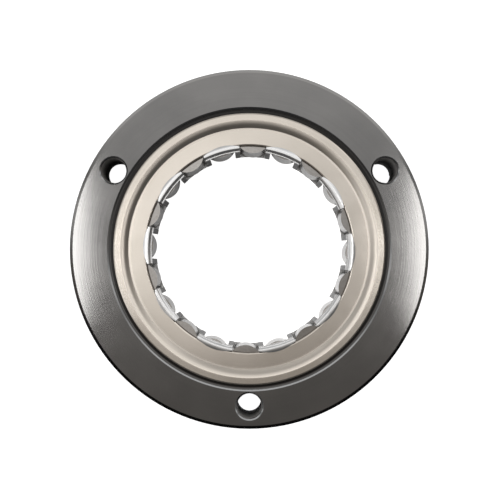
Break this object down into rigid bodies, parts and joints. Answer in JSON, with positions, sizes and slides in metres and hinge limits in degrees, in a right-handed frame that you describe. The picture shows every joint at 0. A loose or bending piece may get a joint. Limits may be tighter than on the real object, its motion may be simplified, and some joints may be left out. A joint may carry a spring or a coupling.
{
  "type": "sprag clutch",
  "caption": "One-way sprag clutch: a bolt-on outer race ring holding a flanged double cage of tilting sprags that grip a shaft one way and run free the other.",
  "frame": {"origin": "on the clutch axis at the back face of the outer ring", "axes": "+Z along the clutch axis from the back face towards the flanged face, +X towards the right in the picture"},
  "size_m": [0.094, 0.094, 0.018],
  "materials": {
    "ground_race_steel": "hardened bearing steel, turned face with fine circular marks",
    "nickel_plated_cage": "stamped strip steel, satin and slightly warm",
    "spring_steel": "thin tempered strip",
    "polished_strip": "bright tumbled steel strip",
    "sprag_steel": "hardened steel, dull cut ends and polished cam flanks"
  },
  "bodies": {
    "outer_ring": {"outer_ring": "ground_race_steel"},
    "outer_cage": {"outer_cage": "nickel_plated_cage", "ribbon_spring": "spring_steel"},
    "inner_cage": {"inner_cage": "polished_strip"},
    "sprag_01": {"sprag_01": "sprag_steel"},
    "sprag_02": {"sprag_02": "sprag_steel"},
    "sprag_03": {"sprag_03": "sprag_steel"},
    "sprag_04": {"sprag_04": "sprag_steel"},
    "sprag_05": {"sprag_05": "sprag_steel"},
    "sprag_06": {"sprag_06": "sprag_steel"},
    "sprag_07": {"sprag_07": "sprag_steel"},
    "sprag_08": {"sprag_08": "sprag_steel"},
    "sprag_09": {"sprag_09": "sprag_steel"},
    "sprag_10": {"sprag_10": "sprag_steel"},
    "sprag_11": {"sprag_11": "sprag_steel"},
    "sprag_12": {"sprag_12": "sprag_steel"},
    "sprag_13": {"sprag_13": "sprag_steel"},
    "sprag_14": {"sprag_14": "sprag_steel"},
    "sprag_15": {"sprag_15": "sprag_steel"},
    "sprag_16": {"sprag_16": "sprag_steel"},
    "sprag_17": {"sprag_17": "sprag_steel"},
    "sprag_18": {"sprag_18": "sprag_steel"},
    "sprag_19": {"sprag_19": "sprag_steel"},
    "sprag_20": {"sprag_20": "sprag_steel"}
  },
  "joints": [
    {"name": "cage_spin", "type": "hinge", "parent": "outer_ring", "child": "outer_cage", "pos_m": [0, 0, 0.009], "axis": [0, 0, 1], "continuous": true},
    {"name": "sprag_01_tilt", "type": "hinge", "parent": "outer_cage", "child": "sprag_01", "pos_m": [0.02774, 0.00887, 0.0095], "axis": [0, 0, 1], "range_deg": [0, 10], "stiffness_Nm_per_rad": 0.002, "springref_deg": -1.15},
    {"name": "sprag_02_tilt", "type": "hinge", "parent": "outer_cage", "child": "sprag_02", "pos_m": [0.02364, 0.017, 0.0095], "axis": [0, 0, 1], "range_deg": [0, 10]},
    {"name": "sprag_03_tilt", "type": "hinge", "parent": "outer_cage", "child": "sprag_03", "pos_m": [0.01723, 0.02348, 0.0095], "axis": [0, 0, 1], "range_deg": [0, 10]},
    {"name": "sprag_04_tilt", "type": "hinge", "parent": "outer_cage", "child": "sprag_04", "pos_m": [0.00913, 0.02765, 0.0095], "axis": [0, 0, 1], "range_deg": [0, 10]},
    {"name": "sprag_05_tilt", "type": "hinge", "parent": "outer_cage", "child": "sprag_05", "pos_m": [0.00014, 0.02912, 0.0095], "axis": [0, 0, 1], "range_deg": [0, 10]},
    {"name": "sprag_06_tilt", "type": "hinge", "parent": "outer_cage", "child": "sprag_06", "pos_m": [-0.00887, 0.02774, 0.0095], "axis": [0, 0, 1], "range_deg": [0, 10]},
    {"name": "sprag_07_tilt", "type": "hinge", "parent": "outer_cage", "child": "sprag_07", "pos_m": [-0.017, 0.02364, 0.0095], "axis": [0, 0, 1], "range_deg": [0, 10]},
    {"name": "sprag_08_tilt", "type": "hinge", "parent": "outer_cage", "child": "sprag_08", "pos_m": [-0.02348, 0.01723, 0.0095], "axis": [0, 0, 1], "range_deg": [0, 10]},
    {"name": "sprag_09_tilt", "type": "hinge", "parent": "outer_cage", "child": "sprag_09", "pos_m": [-0.02765, 0.00913, 0.0095], "axis": [0, 0, 1], "range_deg": [0, 10]},
    {"name": "sprag_10_tilt", "type": "hinge", "parent": "outer_cage", "child": "sprag_10", "pos_m": [-0.02912, 0.00014, 0.0095], "axis": [0, 0, 1], "range_deg": [0, 10]},
    {"name": "sprag_11_tilt", "type": "hinge", "parent": "outer_cage", "child": "sprag_11", "pos_m": [-0.02774, -0.00887, 0.0095], "axis": [0, 0, 1], "range_deg": [0, 10]},
    {"name": "sprag_12_tilt", "type": "hinge", "parent": "outer_cage", "child": "sprag_12", "pos_m": [-0.02364, -0.017, 0.0095], "axis": [0, 0, 1], "range_deg": [0, 10]},
    {"name": "sprag_13_tilt", "type": "hinge", "parent": "outer_cage", "child": "sprag_13", "pos_m": [-0.01723, -0.02348, 0.0095], "axis": [0, 0, 1], "range_deg": [0, 10]},
    {"name": "sprag_14_tilt", "type": "hinge", "parent": "outer_cage", "child": "sprag_14", "pos_m": [-0.00913, -0.02765, 0.0095], "axis": [0, 0, 1], "range_deg": [0, 10]},
    {"name": "sprag_15_tilt", "type": "hinge", "parent": "outer_cage", "child": "sprag_15", "pos_m": [-0.00014, -0.02912, 0.0095], "axis": [0, 0, 1], "range_deg": [0, 10]},
    {"name": "sprag_16_tilt", "type": "hinge", "parent": "outer_cage", "child": "sprag_16", "pos_m": [0.00887, -0.02774, 0.0095], "axis": [0, 0, 1], "range_deg": [0, 10]},
    {"name": "sprag_17_tilt", "type": "hinge", "parent": "outer_cage", "child": "sprag_17", "pos_m": [0.017, -0.02364, 0.0095], "axis": [0, 0, 1], "range_deg": [0, 10]},
    {"name": "sprag_18_tilt", "type": "hinge", "parent": "outer_cage", "child": "sprag_18", "pos_m": [0.02348, -0.01723, 0.0095], "axis": [0, 0, 1], "range_deg": [0, 10]},
    {"name": "sprag_19_tilt", "type": "hinge", "parent": "outer_cage", "child": "sprag_19", "pos_m": [0.02765, -0.00913, 0.0095], "axis": [0, 0, 1], "range_deg": [0, 10]},
    {"name": "sprag_20_tilt", "type": "hinge", "parent": "outer_cage", "child": "sprag_20", "pos_m": [0.02912, -0.00014, 0.0095], "axis": [0, 0, 1], "range_deg": [0, 10]},
    {"name": "inner_cage_phase", "type": "hinge", "parent": "outer_cage", "child": "inner_cage", "pos_m": [0, 0, 0.0095], "axis": [0, 0, 1], "range_deg": [-0.8, 0]}
  ],
  "couplings": [
    {"joint": "sprag_02_tilt", "follows": "sprag_01_tilt", "ratio": 1},
    {"joint": "sprag_03_tilt", "follows": "sprag_01_tilt", "ratio": 1},
    {"joint": "sprag_04_tilt", "follows": "sprag_01_tilt", "ratio": 1},
    {"joint": "sprag_05_tilt", "follows": "sprag_01_tilt", "ratio": 1},
    {"joint": "sprag_06_tilt", "follows": "sprag_01_tilt", "ratio": 1},
    {"joint": "sprag_07_tilt", "follows": "sprag_01_tilt", "ratio": 1},
    {"joint": "sprag_08_tilt", "follows": "sprag_01_tilt", "ratio": 1},
    {"joint": "sprag_09_tilt", "follows": "sprag_01_tilt", "ratio": 1},
    {"joint": "sprag_10_tilt", "follows": "sprag_01_tilt", "ratio": 1},
    {"joint": "sprag_11_tilt", "follows": "sprag_01_tilt", "ratio": 1},
    {"joint": "sprag_12_tilt", "follows": "sprag_01_tilt", "ratio": 1},
    {"joint": "sprag_13_tilt", "follows": "sprag_01_tilt", "ratio": 1},
    {"joint": "sprag_14_tilt", "follows": "sprag_01_tilt", "ratio": 1},
    {"joint": "sprag_15_tilt", "follows": "sprag_01_tilt", "ratio": 1},
    {"joint": "sprag_16_tilt", "follows": "sprag_01_tilt", "ratio": 1},
    {"joint": "sprag_17_tilt", "follows": "sprag_01_tilt", "ratio": 1},
    {"joint": "sprag_18_tilt", "follows": "sprag_01_tilt", "ratio": 1},
    {"joint": "sprag_19_tilt", "follows": "sprag_01_tilt", "ratio": 1},
    {"joint": "sprag_20_tilt", "follows": "sprag_01_tilt", "ratio": 1},
    {"joint": "inner_cage_phase", "follows": "sprag_01_tilt", "ratio": -0.08}
  ]
}
